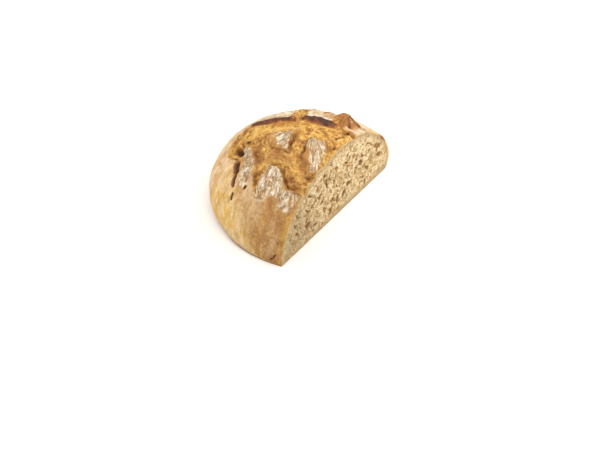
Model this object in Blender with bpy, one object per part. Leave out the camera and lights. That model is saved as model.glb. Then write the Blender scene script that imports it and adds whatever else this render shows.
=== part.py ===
"""A round rustic walnut bread, cut across, standing on its flat base.

The loaf is one solid: a low dome with a slashed and torn crust, and one plane cut that opens the crumb.
+X is the way the cut faces, +Y runs along the cut to the far side, +Z is up. The origin is on the
ground, under the middle of the loaf's box. Lengths are metres.

The crust's relief is laid out on the crust as if it were peeled off and flattened: a place there is its
distance from the crown, measured along the crust, to the cut's side (first) and the far side (second).
"""
import math

import bmesh
import bpy
import numpy as np
from mathutils import Matrix, Vector, noise

# The dome
MEAN_RADIUS = 0.116
CROWN_HEIGHT = 0.0908
CROWN_LEAN = -0.004
CROWN_PLACE = (0.0380, 0.0003)
SIDE_BULGES = (0.045, 0.030, -0.030)
CROWN_FLATNESS = 1.139
CUT_PLACE = 0.0386
WIDEST_HEIGHT = 0.0159
BASE_TUCK = 0.008
NEAR_CHEEK = (math.radians(-72), math.radians(45))
CHEEK_LOWERS_WIDEST = 0.80
CHEEK_FILLS_TUCK = 0.95

# The mesh of the crust
CRUST_CELLS = 82
CROWN_CELL_SIZE = 0.62
FRONT_CELL_SHARE = 0.16
DOME_SHARE = 0.90
CRUST_ARC = 0.100
WAVE_LENGTH = 0.045
WAVE_HEIGHT = 0.0012
RELIEF_FADE = math.pi / 4
SHARP_ANGLE = math.radians(50)

# The slashes, torn open
TORN_FIELD = (
    (-0.078, -0.014), (-0.068, 0.001), (-0.052, 0.007), (-0.038, 0.011), (-0.025, 0.015), (-0.019, 0.020),
    (-0.010, 0.0245), (0.003, 0.0275), (0.013, 0.030), (0.024, 0.031), (0.060, 0.026), (0.060, -0.058),
    (0.032, -0.062), (0.020, -0.065), (0.010, -0.058), (0.002, -0.049), (-0.012, -0.049),
    (-0.015, -0.062), (-0.013, -0.080), (-0.022, -0.072), (-0.028, -0.056), (-0.034, -0.046),
    (-0.048, -0.033), (-0.056, -0.034), (-0.058, -0.054), (-0.072, -0.048), (-0.079, -0.030),
)
LEFT_PLATE = ((-0.038, -0.018), (-0.014, -0.003), (-0.009, -0.013), (-0.003, -0.031), (-0.021, -0.032))
RIGHT_PLATE = ((0.005, -0.003), (0.018, 0.000), (0.025, -0.010), (0.033, -0.034), (0.027, -0.044),
               (0.012, -0.026))
BACK_SLASHES = (
    ((-0.020, 0.014), (-0.030, 0.032), (-0.041, 0.066)),
    ((0.020, 0.014), (0.013, 0.036), (0.004, 0.062)),
)
SLASH_HALF_WIDTH = 0.005
TORN_DEPTH = 0.0040
TORN_SLOPE = 0.0062
TORN_SWELL = 0.0026
SWELL_REACH = 0.010
LIP_LIFT = 0.0016
LIP_REACH = 0.006
CRAG_SIZE = 0.0085
CRAG_HEIGHT = 0.0012
CRAG_SEED = 11.0

# The torn dough that swells up in front of the ears
BELLY = ((-0.066, -0.009), (-0.040, 0.001), (-0.020, 0.009), (0.004, 0.017), (0.022, 0.016))
BELLY_LIFT = 0.0030
BELLY_REACH = 0.0075

# The ears, where a slash lifts the crust behind it: path and lift
EARS = (
    (((-0.072, 0.001), (-0.052, 0.009), (-0.038, 0.013), (-0.022, 0.018)), 0.0018),
    (((-0.023, 0.0195), (-0.010, 0.0262), (0.003, 0.0292), (0.0135, 0.0345)), 0.0032),
)
EAR_FRONT = 0.0048
EAR_BACK = 0.016
EAR_END = 0.012

# The torn peaks behind the slashes, steeper on their near side: place, radius, lift, near steepness
PEAKS = (
    ((0.0150, 0.044), 0.0095, 0.0094, 1.5),
    ((0.0260, 0.054), 0.0095, 0.0045, 1.0),
    ((-0.0090, 0.054), 0.0055, 0.0028, 1.0),
)

# The burst on the left flank: path, half width, depth
TEARS = (
    (((-0.056, -0.042), (-0.056, -0.0475)), 0.0045, 0.0070),
    (((-0.050, -0.062), (-0.048, -0.072), (-0.045, -0.085)), 0.0031, 0.0066),
    (((-0.041, -0.093), (-0.043, -0.102)), 0.0020, 0.0030),
)
BURST = ((-0.0665, -0.0370), 0.0085, 0.0028)

# The pores of the crumb: place across and up the cut, half width, half height, slant in degrees, depth
PORES = (
    (-0.029, 0.066, 0.0026, 0.0026, 0, 0.0040),
    (-0.025, 0.053, 0.0017, 0.0080, 12, 0.0038),
    (-0.018, 0.073, 0.0030, 0.0014, -40, 0.0024),
    (-0.006, 0.062, 0.0034, 0.0022, -35, 0.0024),
    (0.014, 0.057, 0.0040, 0.0020, -20, 0.0028),
    (0.001, 0.046, 0.0030, 0.0014, -40, 0.0022),
    (0.035, 0.049, 0.0032, 0.0014, -35, 0.0026),
    (0.047, 0.047, 0.0028, 0.0015, -45, 0.0024),
    (0.061, 0.046, 0.0036, 0.0013, -35, 0.0026),
    (0.060, 0.057, 0.0026, 0.0013, -45, 0.0022),
    (-0.042, 0.058, 0.0018, 0.0026, 0, 0.0022),
    (-0.055, 0.055, 0.0028, 0.0013, -35, 0.0024),
    (-0.062, 0.041, 0.0050, 0.0015, -40, 0.0024),
    (-0.085, 0.035, 0.0030, 0.0014, -45, 0.0024),
    (-0.081, 0.023, 0.0036, 0.0020, -35, 0.0030),
    (-0.029, 0.024, 0.0022, 0.0013, -20, 0.0022),
    (0.021, 0.036, 0.0030, 0.0014, -40, 0.0022),
    (0.084, 0.041, 0.0028, 0.0013, -30, 0.0020),
)

CRUST_COLOUR = (0.62, 0.34, 0.13, 1.0)
CRUST_ROUGHNESS = 0.8


def clear_objects():
    """Remove every object of the open file."""
    for old in list(bpy.data.objects):
        bpy.data.objects.remove(old, do_unlink=True)


def crust_material():
    """Return the matt golden-brown finish of the baked crust."""
    material = bpy.data.materials.new("baked_crust")
    material.use_nodes = True
    shader = material.node_tree.nodes["Principled BSDF"]
    shader.inputs["Base Color"].default_value = CRUST_COLOUR
    shader.inputs["Roughness"].default_value = CRUST_ROUGHNESS
    shader.inputs["Metallic"].default_value = 0.0
    return material


def smooth(value):
    """Return a soft step that is 0 at and below 0, and 1 at and above 1."""
    value = np.clip(value, 0.0, 1.0)
    return value * value * (3.0 - 2.0 * value)


def segment(places, start, end):
    """Return each place's distance to a segment, its share along it and its offset to the left of it."""
    start = np.array(start)
    along = np.array(end) - start
    length = np.hypot(*along)
    offset = places - start
    share = np.clip(offset @ along / length**2, 0.0, 1.0)
    distance = np.linalg.norm(offset - share[:, None] * along, axis=1)
    left = (along[0] * offset[:, 1] - along[1] * offset[:, 0]) / length
    return distance, share, left


def path_distance(places, path):
    """Return each place's distance to an open path."""
    return np.min([segment(places, *ends)[0] for ends in zip(path, path[1:])], axis=0)


def outline_distance(places, outline):
    """Return each place's distance to a closed outline, less than 0 inside it."""
    nearest = np.full(len(places), np.inf)
    inside = np.zeros(len(places), bool)
    for start, end in zip(outline, outline[1:] + outline[:1]):
        nearest = np.minimum(nearest, segment(places, start, end)[0])
        crosses = (start[1] > places[:, 1]) != (end[1] > places[:, 1])
        rise = end[1] - start[1] or 1.0
        crossing = start[0] + (places[:, 1] - start[1]) / rise * (end[0] - start[0])
        inside ^= crosses & (places[:, 0] < crossing)
    return np.where(inside, -nearest, nearest)


def torn_distance(places):
    """Return each place's depth inside the torn slashes, less than 0 out on the whole skin."""
    depth = -outline_distance(places, TORN_FIELD)
    for plate in (LEFT_PLATE, RIGHT_PLATE):
        depth = np.minimum(depth, outline_distance(places, plate))
    for slash in BACK_SLASHES:
        depth = np.maximum(depth, SLASH_HALF_WIDTH - path_distance(places, slash))
    return depth


def ear_shape(places, ear):
    """Return the share of one ear's lift: steep on its slashed side, easing off behind."""
    shape = np.zeros(len(places))
    last = len(ear) - 2
    for index, ends in enumerate(zip(ear, ear[1:])):
        distance, share, left = segment(places, *ends)
        length = math.dist(*ends)
        overrun = np.sqrt(np.maximum(distance**2 - left**2, 0.0))
        taper = 1.0 - smooth(overrun / EAR_END)
        if index == 0:
            taper *= smooth(share * length / EAR_END + 0.25)
        if index == last:
            taper *= smooth((1.0 - share) * length / EAR_END + 0.25)
        behind = np.exp(-np.maximum(left, 0.0) / EAR_BACK)
        front = smooth(1.0 + left / EAR_FRONT)
        shape = np.maximum(shape, taper * behind * front)
    return shape


def torn_relief(places):
    """Return the relief of the slashes: their sunk floors, swollen middles, crags and raised lips."""
    inside = torn_distance(places)
    torn = smooth(inside / TORN_SLOPE + 0.5)
    belly = np.exp(-((path_distance(places, BELLY) / BELLY_REACH) ** 2))
    relief = TORN_SWELL * smooth(inside / SWELL_REACH) + BELLY_LIFT * belly * torn
    relief += LIP_LIFT * np.exp(-np.maximum(-inside, 0.0) / LIP_REACH) * (inside < 0.0)
    spots = [Vector((*place, 0.0)) / CRAG_SIZE + Vector.Fill(3, CRAG_SEED) for place in places]
    crags = np.array([noise.fractal(spot, 1.0, 2.0, 3) for spot in spots])
    return relief + torn * (CRAG_HEIGHT * crags - TORN_DEPTH)


def crust_relief(places):
    """Return how far the crust stands out of the plain dome at each place on the flattened crust."""
    relief = torn_relief(places)
    for ear, lift in EARS:
        relief += lift * ear_shape(places, ear)
    for place, radius, lift, steepness in PEAKS:
        offset = places - np.array(place)
        beside = np.where(offset[:, 1] < 0.0, offset[:, 1] * steepness, offset[:, 1])
        relief += lift * np.exp(-(np.hypot(offset[:, 0], beside) / radius) ** 2)
    for path, half_width, depth in TEARS:
        relief -= depth * np.exp(-((path_distance(places, path) / half_width) ** 2))
    place, radius, lift = BURST
    distance = np.linalg.norm(places - np.array(place), axis=1)
    return relief + lift * np.exp(-((distance / radius) ** 2))


def dome_point(tilt, turn):
    """Return points of the plain dome. The tilt is 0 at the crown, a quarter turn at the widest ring and
    a half turn at the base; the turn runs round the crown from the cut's side."""
    first, second, skew = SIDE_BULGES
    radius = MEAN_RADIUS * (1.0 + first * np.cos(turn) + second * np.cos(2 * turn) + skew * np.sin(2 * turn))
    middle, reach = NEAR_CHEEK
    away = (turn - middle + math.pi) % (2 * math.pi) - math.pi
    cheek = np.exp(-((away / reach) ** 2))
    widest = WIDEST_HEIGHT * (1.0 - CHEEK_LOWERS_WIDEST * cheek)
    tuck = BASE_TUCK * (1.0 - CHEEK_FILLS_TUCK * cheek)
    above = tilt <= math.pi / 2
    rise = np.maximum(np.cos(np.minimum(tilt, math.pi / 2)), 0.0) ** CROWN_FLATNESS
    low = np.clip(tilt / (math.pi / 2) - 1.0, 0.0, 1.0)
    out = np.where(above, radius * np.sin(np.minimum(tilt, math.pi / 2)), radius - tuck * low**2)
    height = np.where(above, widest + (CROWN_HEIGHT - widest) * rise, widest * (1.0 - low))
    lean = CROWN_LEAN * np.clip((height - widest) / (CROWN_HEIGHT - widest), 0.0, 1.0)
    return np.stack([out * np.cos(turn), out * np.sin(turn) + lean, height], axis=-1)


def crust_places(cells):
    """Return tilt and turn for a square sheet of cells, drawn round to cover the whole dome. The cells are
    smaller at the crown and in front, where the slashes are."""
    steps = np.linspace(-1.0, 1.0, cells + 1)
    side, far = np.meshgrid(steps, steps - FRONT_CELL_SHARE * (1.0 - steps**2), indexing="ij")
    across = side * np.sqrt(1.0 - far**2 / 2.0)
    along = far * np.sqrt(1.0 - side**2 / 2.0)
    reach = np.minimum(np.hypot(across, along), 1.0)
    turn = np.arctan2(along, across)
    share = reach / DOME_SHARE
    over = math.pi / 2 * (CROWN_CELL_SIZE * share + (1.0 - CROWN_CELL_SIZE) * share**3)
    under = math.pi / 2 * (1.0 + (reach - DOME_SHARE) / (1.0 - DOME_SHARE))
    return np.where(reach < DOME_SHARE, over, under), turn


def outward(points):
    """Return the unit normals of a sheet of points, pointing out of the loaf."""
    normals = np.cross(np.gradient(points, axis=0), np.gradient(points, axis=1))
    return normals / np.linalg.norm(normals, axis=-1, keepdims=True)


def crust_points():
    """Return the sheet of points of the whole crust with its relief, which dies out towards the base."""
    tilt, turn = crust_places(CRUST_CELLS)
    points = dome_point(tilt, turn)
    arc = CRUST_ARC * tilt.ravel()
    places = np.stack([arc * np.cos(turn.ravel()), arc * np.sin(turn.ravel())], axis=-1)
    waves = np.array([noise.noise(Vector(point) / WAVE_LENGTH) for point in points.reshape(-1, 3)])
    relief = (crust_relief(places) + WAVE_HEIGHT * waves).reshape(tilt.shape)
    relief *= smooth((math.pi - tilt) / RELIEF_FADE)
    return points + outward(points) * relief[..., None]


def whole_loaf():
    """Return the closed mesh of the loaf before the cut: the crust and the flat base."""
    points = crust_points()
    mesh = bmesh.new()
    rows = [[mesh.verts.new(point) for point in row] for row in points]
    for row, following in zip(rows, rows[1:]):
        for near in range(CRUST_CELLS):
            mesh.faces.new((row[near], following[near], following[near + 1], row[near + 1]))
    bmesh.ops.holes_fill(mesh, edges=[edge for edge in mesh.edges if edge.is_boundary])
    return mesh


def cut_across(mesh):
    """Take off what lies past the cut and close the loaf with one plane face."""
    geometry = mesh.verts[:] + mesh.edges[:] + mesh.faces[:]
    bmesh.ops.bisect_plane(mesh, geom=geometry, plane_co=(CUT_PLACE, 0.0, 0.0), plane_no=(1.0, 0.0, 0.0),
                           clear_outer=True)
    bmesh.ops.holes_fill(mesh, edges=[edge for edge in mesh.edges if edge.is_boundary])
    bmesh.ops.recalc_face_normals(mesh, faces=mesh.faces[:])


def new_object(name, mesh):
    """Make an object of a finished bmesh, with its round parts shaded smooth."""
    data = bpy.data.meshes.new(name)
    mesh.to_mesh(data)
    mesh.free()
    data.shade_smooth()
    data.set_sharp_from_angle(angle=SHARP_ANGLE)
    result = bpy.data.objects.new(name, data)
    bpy.context.scene.collection.objects.link(result)
    return result


def pore_cutter():
    """Return the hidden cutter of the large pores: flattened balls whose middles lie in the cut."""
    mesh = bmesh.new()
    for across, up, half_width, half_height, slant, depth in PORES:
        place = Matrix.Translation((CUT_PLACE, across, up))
        turned = Matrix.Rotation(math.radians(slant), 4, "X")
        shape = Matrix.Diagonal((depth, half_width, half_height, 1.0))
        bmesh.ops.create_icosphere(mesh, subdivisions=2, radius=1.0, matrix=place @ turned @ shape)
    cutter = new_object("pore_cutter", mesh)
    cutter.display_type = "WIRE"
    cutter.hide_render = True
    return cutter


def build_loaf():
    """Build the loaf: the slashed crust, the cut and the open pores of the crumb."""
    mesh = whole_loaf()
    cut_across(mesh)
    loaf = new_object("loaf", mesh)
    loaf.data.materials.append(crust_material())
    cutter = pore_cutter()
    pores = loaf.modifiers.new("pores", "BOOLEAN")
    pores.operation = "DIFFERENCE"
    pores.solver = "EXACT"
    pores.object = cutter
    for piece in (loaf, cutter):
        piece.location = (*CROWN_PLACE, 0.0)
    return loaf


clear_objects()
build_loaf()
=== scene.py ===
"""The looks of a round rustic walnut bread that is cut across: a slashed, floured crust and an open crumb."""
import logging
import math
from collections.abc import Callable, Iterable, Sequence
from dataclasses import dataclass, field
from enum import Enum

import bmesh
import bpy
import numpy as np
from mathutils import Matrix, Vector, geometry, noise


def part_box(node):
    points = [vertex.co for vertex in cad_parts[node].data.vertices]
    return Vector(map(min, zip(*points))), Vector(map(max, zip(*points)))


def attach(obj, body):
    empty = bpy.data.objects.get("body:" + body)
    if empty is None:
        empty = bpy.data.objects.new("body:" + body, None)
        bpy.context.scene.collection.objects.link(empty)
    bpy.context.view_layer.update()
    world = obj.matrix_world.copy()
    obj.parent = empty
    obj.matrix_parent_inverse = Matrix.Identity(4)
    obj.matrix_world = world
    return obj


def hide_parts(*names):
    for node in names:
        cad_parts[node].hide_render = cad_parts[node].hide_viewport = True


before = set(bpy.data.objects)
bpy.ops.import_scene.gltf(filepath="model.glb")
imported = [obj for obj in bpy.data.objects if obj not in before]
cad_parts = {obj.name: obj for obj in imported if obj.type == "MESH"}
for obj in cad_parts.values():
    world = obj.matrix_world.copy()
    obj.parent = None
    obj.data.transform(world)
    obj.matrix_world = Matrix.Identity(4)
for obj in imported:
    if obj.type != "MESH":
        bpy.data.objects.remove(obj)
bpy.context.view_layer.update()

Array = np.ndarray
Place = tuple[float, float]
Path = tuple[Place, ...]
Colour = tuple[float, float, float, float]
LOG = logging.getLogger("walnut_bread")
CROWN_ACROSS = 0.0003


def srgb(code: str) -> Colour:
    """Return a colour for the shaders.

    Args:
        code: The colour as it shows on a screen, six hexadecimal digits.

    Returns:
        The linear red, green and blue, and an alpha of 1.
    """
    parts = [int(code[at:at + 2], 16) / 255.0 for at in (0, 2, 4)]
    red, green, blue = (part / 12.92 if part < 0.04045 else ((part + 0.055) / 1.055) ** 2.4 for part in parts)
    return (red, green, blue, 1.0)


def soft_step(value: Array) -> Array:
    """Return a soft step that is 0 at and below 0, and 1 at and above 1."""
    value = np.clip(value, 0.0, 1.0)
    return value * value * (3.0 - 2.0 * value)


def bell(value: Array) -> Array:
    """Return a soft bump that is 1 at 0 and falls off to both sides."""
    return np.exp(-(value**2))


def route(*sizes: float) -> Path:
    """Return the places that pairs of sizes give.

    Args:
        sizes: Two sizes for each place, in millimetres.

    Returns:
        The places, in metres.
    """
    metres = [round(size / 1000.0, 7) for size in sizes]
    return tuple(zip(metres[::2], metres[1::2]))


def spot_distance(places: Array, spot: Place) -> Array:
    """Return each place's distance to a spot."""
    return np.linalg.norm(places - np.array(spot), axis=1)


def grid_places(across: Array, up: Array) -> Array:
    """Return the places of a grid, one a row."""
    return np.stack([axis.ravel() for axis in np.meshgrid(across, up, indexing="ij")], axis=-1)


def turned(across: Array, up: Array, cosine: Array | float, sine: Array | float) -> tuple[Array, Array]:
    """Return sizes along and beside an axis, whose cosine and sine are given."""
    return across * cosine + up * sine, up * cosine - across * sine


def segment(places: Array, start: Place, end: Place) -> tuple[Array, Array, Array]:
    """Measure places against a straight segment.

    Args:
        places: The places, one a row.
        start: The segment's start.
        end: The segment's end.

    Returns:
        Each place's distance to the segment, its share along it and its offset to the left of it.
    """
    origin = np.array(start)
    along = np.array(end) - origin
    length = math.dist(start, end)
    offset = places - origin
    share = np.clip(offset @ along / length**2, 0.0, 1.0)
    distance = np.linalg.norm(offset - share[:, None] * along, axis=1)
    left = (along[0] * offset[:, 1] - along[1] * offset[:, 0]) / length
    return distance, share, left


def path_distance(places: Array, path: Sequence[Place]) -> Array:
    """Return each place's distance to an open path."""
    return np.min([segment(places, *ends)[0] for ends in zip(path, path[1:])], axis=0)


def outline_distance(places: Array, outline: Sequence[Place]) -> Array:
    """Return each place's distance to a closed outline, less than 0 inside it.

    Args:
        places: The places, one a row.
        outline: The outline's corners.

    Returns:
        One distance for each place.
    """
    nearest = np.full(len(places), np.inf)
    inside = np.zeros(len(places), bool)
    for start, end in zip(outline, (*outline[1:], outline[0])):
        nearest = np.minimum(nearest, segment(places, start, end)[0])
        crosses = (start[1] > places[:, 1]) != (end[1] > places[:, 1])
        rise = end[1] - start[1] or 1.0
        crossing = start[0] + (places[:, 1] - start[1]) / rise * (end[0] - start[0])
        inside ^= crosses & (places[:, 0] < crossing)
    return np.where(inside, -nearest, nearest)


@dataclass(frozen=True)
class Grain:
    """Smooth noise of one grain size, from about -1 to 1."""

    size: float
    octaves: float = 2.0
    offset: float = 0.0

    def at(self, points: Array, stretch: Sequence[float] = (1.0, 1.0, 1.0)) -> Array:
        """Sample the noise.

        Args:
            points: The points, two or three numbers a row.
            stretch: How many grain sizes the noise is long along each axis.

        Returns:
            One value for each point.
        """
        scaled = np.zeros((len(points), 3))
        scaled[:, :points.shape[1]] = points
        scaled = scaled / (self.size * np.array(stretch)) + self.offset
        return np.array([noise.fractal(point, 1.0, 2.0, self.octaves) for point in scaled.tolist()])


@dataclass(frozen=True)
class Dome:
    """The plain form of the loaf: a low dome that leans a little and is tucked in at its base."""

    mean_radius: float = 0.116
    crown_height: float = 0.0908
    crown_lean: float = -0.004
    side_bulges: tuple[float, float, float] = (0.045, 0.030, -0.030)
    crown_flatness: float = 1.139
    cut_place: float = 0.0386
    widest_height: float = 0.0159
    base_tuck: float = 0.008
    cheek_turn: float = math.radians(-72)
    cheek_reach: float = math.radians(45)
    cheek_lowers_widest: float = 0.80
    cheek_fills_tuck: float = 0.95

    def points(self, tilt: Array, turn: Array) -> Array:
        """Return points of the dome.

        Args:
            tilt: 0 at the crown, a quarter turn at the widest ring and a half turn at the base.
            turn: The angle round the crown from the cut's side.

        Returns:
            The points, measured from the ground under the crown.
        """
        first, second, skew = self.side_bulges
        swell = first * np.cos(turn) + second * np.cos(2 * turn) + skew * np.sin(2 * turn)
        radius = self.mean_radius * (1.0 + swell)
        away = (turn - self.cheek_turn + math.pi) % (2 * math.pi) - math.pi
        cheek = np.exp(-((away / self.cheek_reach) ** 2))
        widest = self.widest_height * (1.0 - self.cheek_lowers_widest * cheek)
        tuck = self.base_tuck * (1.0 - self.cheek_fills_tuck * cheek)
        upper = np.minimum(tilt, math.pi / 2)
        rise = np.maximum(np.cos(upper), 0.0) ** self.crown_flatness
        low = np.clip(tilt / (math.pi / 2) - 1.0, 0.0, 1.0)
        above = tilt <= math.pi / 2
        out = np.where(above, radius * np.sin(upper), radius - tuck * low**2)
        height = np.where(above, widest + (self.crown_height - widest) * rise, widest * (1.0 - low))
        lean = self.crown_lean * np.clip((height - widest) / (self.crown_height - widest), 0.0, 1.0)
        return np.stack([out * np.cos(turn), out * np.sin(turn) + lean, height], axis=-1)


@dataclass(frozen=True)
class Slashes:
    """The baker's slashes, torn open, laid out on the crust as if it were peeled off and flattened.

    A place is its distance from the crown along the crust, to the cut's side and to the far side.
    """

    torn_field: Path = route(
        -78, -14, -68, 1, -52, 7, -38, 11, -25, 15, -19, 20, -10, 24.5, 3, 27.5, 13, 30, 24, 31, 60, 26,
        60, -58, 32, -62, 20, -65, 10, -58, 2, -49, -12, -49, -15, -62, -13, -80, -22, -72, -28, -56,
        -34, -46, -48, -33, -56, -34, -58, -54, -72, -48, -79, -30,
    )
    plates: tuple[Path, ...] = (
        route(-38, -18, -14, -3, -9, -13, -3, -31, -21, -32),
        route(4, -2, 18, 1, 27, -9, 35, -34, 28, -45, 11, -27),
    )
    back: tuple[Path, ...] = (
        route(-20, 14, -30, 32, -41, 66),
        route(20, 14, 13, 36, 4, 62),
    )
    dark_edges: tuple[Path, ...] = (
        route(-37, -18, -14, -3),
        route(-13, -5, -9, -14, -4, -28),
        route(6, -4, 11, -24),
        route(-12, -50, -3, -48, 5, -51, 11, -60, 22, -65),
        route(-38, -42, -30, -52, -27, -66, -22, -74),
    )
    belly: Path = route(-66, -9, -40, 1, -20, 9, 4, 17, 22, 16)
    belly_lift: float = 0.0030
    belly_reach: float = 0.0075
    half_width: float = 0.005
    depth: float = 0.0040
    slope: float = 0.0016
    soft_slope: float = 0.0036
    foot_slope: float = 0.0075
    melting_edges: Path = route(-37, -22, -14, -35, 24, -46, -30, -62)
    melting_reach: float = 0.010
    melting_slope: float = 0.016
    melting_fill: float = 0.45
    swell: float = 0.0026
    swell_reach: float = 0.010
    lip: float = 0.0016
    lip_reach: float = 0.006
    crevice: float = 0.0018
    crevice_place: float = 0.0006
    crevice_width: float = 0.0011

    def inside(self, places: Array) -> Array:
        """Return each place's depth inside the torn slashes, less than 0 out on the whole skin.

        Args:
            places: The places, one a row.

        Returns:
            One depth for each place.
        """
        depth = -outline_distance(places, self.torn_field)
        for plate in self.plates:
            depth = np.minimum(depth, outline_distance(places, plate))
        for slash in self.back:
            depth = np.maximum(depth, self.half_width - path_distance(places, slash))
        return depth

    def curled(self, places: Array) -> Array:
        """Return where the skin's torn edges curl up sharply, 0 to 1."""
        nearest = np.min([path_distance(places, path) for path in self.dark_edges], axis=0)
        return soft_step((0.0060 - nearest) / 0.0030)

    def merged(self, places: Array) -> Array:
        """Return where a plate's edge melts into the dough, 0 to 1.

        Args:
            places: The places, one a row.

        Returns:
            One share for each place.
        """
        melted = np.zeros(len(places))
        for spot in self.melting_edges:
            melted = np.maximum(melted, bell(spot_distance(places, spot) / self.melting_reach))
        return melted

    def crevice_shade_and_scorch(self, places: Array, inside: Array, curled: Array) -> Array:
        """Return how deep the crevices along the torn edges are and their painted shade with scorch, most at the
        edges that curl up.

        Args:
            places: The places, one a row.
            inside: Their depth inside the torn slashes.
            curled: Where the edges curl up sharply, 0 to 1.

        Returns:
            One value for each place, 0 to 1: the crevice's depth, and its painted shade with scorch.
        """
        patchy = soft_step(0.5 + 1.4 * Grain(0.016, 2, 21.0).at(places))
        line = bell((inside - self.crevice_place) / self.crevice_width)
        return line * np.maximum(curled, 0.30 * patchy) * (1.0 - self.merged(places))

    def relief(self, places: Array, inside: Array, darkness: Array, curled: Array, foot: Array) -> Array:
        """Return the step down into the slashes, their swollen middles, raised lips and edge crevices.

        Args:
            places: The places.
            inside: Their depth inside the torn slashes.
            darkness: How deep the torn edges are.
            curled: Where the edges curl up sharply, 0 to 1.
            foot: Where the dough slopes up softly, 0 to 1.

        Returns:
            The lift of each place.
        """
        belly = bell(path_distance(places, self.belly) / self.belly_reach)
        slope = self.slope + self.soft_slope * (1.0 - curled) + self.foot_slope * foot
        merged = self.merged(places)
        slope += self.melting_slope * merged
        drop = -self.depth * (1.0 - self.melting_fill * merged) * soft_step(inside / slope + 0.5 * (1.0 - foot))
        swell = self.swell * soft_step(inside / self.swell_reach)
        swell += self.belly_lift * belly * soft_step(inside / 0.0035)
        lip = self.lip * np.exp(-np.maximum(-inside, 0.0) / self.lip_reach) * (inside < 0.0)
        return drop + swell + lip - self.crevice * darkness


@dataclass(frozen=True)
class Ears:
    """The ears, where a slash lifts the crust behind it: lips, lifts, darkness and how far that fades."""

    paths: tuple[tuple[Path, float, float, float], ...] = (
        (route(-72, 1, -52, 9, -38, 13, -22, 18), 0.0018, 1.14, 0.0056),
        (route(-23, 19.5, -10, 26.2, 3, 29.2, 13.5, 34.5), 0.0032, 1.10, 0.0058),
    )
    front: float = 0.0048
    roll: float = 0.0016
    back: float = 0.016
    end: float = 0.012
    foot_reach: float = 0.0095
    darkest: Place = (0.002, 0.029)
    darkest_reach: float = 0.009

    def along(self, places: Array, path: Sequence[Place]) -> tuple[Array, Array]:
        """Return how far each place is behind one ear's lip, and how much of the ear there is beside it.

        Args:
            places: The places, one a row.
            path: The ear's lip.

        Returns:
            The distance behind the lip, and the share of the ear.
        """
        behind = np.full(len(places), -1.0)
        share_left = np.zeros(len(places))
        nearest = np.full(len(places), np.inf)
        last = len(path) - 2
        for index, ends in enumerate(zip(path, path[1:])):
            distance, share, left = segment(places, *ends)
            length = math.dist(*ends)
            overrun = np.sqrt(np.maximum(distance**2 - left**2, 0.0))
            taper = 1.0 - soft_step(overrun / self.end)
            if index == 0:
                taper *= soft_step(share * length / self.end + 0.25)
            if index == last:
                taper *= soft_step((1.0 - share) * length / self.end + 0.25)
            closer = distance < nearest
            nearest = np.where(closer, distance, nearest)
            behind = np.where(closer, left, behind)
            share_left = np.where(closer, taper, share_left)
        return behind, share_left

    def relief(self, places: Array) -> Array:
        """Return the ears' lift: rolled lips, steep on the slashed side and easing off behind.

        Args:
            places: The places, one a row.

        Returns:
            One lift for each place.
        """
        lift = np.zeros(len(places))
        wavy = 1.0 + 0.35 * Grain(0.013, 2, 51.0).at(places)
        for path, height, _, _ in self.paths:
            behind, share = self.along(places, path)
            front = soft_step((behind + self.front) / (self.front + self.roll))
            lift += share * height * wavy * front * np.exp(-np.maximum(behind - self.roll, 0.0) / self.back)
        return lift

    def foot(self, places: Array) -> Array:
        """Return where the torn dough slopes up to the ears, 0 to 1."""
        nearest = np.min([path_distance(places, path) for path, _, _, _ in self.paths], axis=0)
        return bell(nearest / self.foot_reach)

    def bake(self, places: Array) -> Array:
        """Return how dark the ears' fronts are baked, 0 to about 1: dark lips that pale to the foot.

        Args:
            places: The places, one a row.

        Returns:
            One darkness for each place.
        """
        dark = np.zeros(len(places))
        ragged = 0.0014 * Grain(0.0050, 3, 37.0).at(places)
        patchy = 1.0 + 0.40 * Grain(0.006, 3, 33.0).at(places) + 0.25 * Grain(0.0022, 2, 35.0).at(places)
        for path, _, darkness, fade in self.paths:
            behind, share = self.along(places, path)
            behind = behind + ragged
            ahead = np.maximum(-behind - 0.0008, 0.0)
            band = soft_step(1.0 - (behind - 0.0006) / 0.0026) * np.exp(-ahead / fade)
            dark = np.maximum(dark, darkness * soft_step(share * 1.3) * band * patchy)
        spot = np.linalg.norm((places - np.array(self.darkest)) * np.array((0.7, 1.6)), axis=1)
        return dark * (1.0 + 0.18 * bell(spot / self.darkest_reach))


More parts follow.
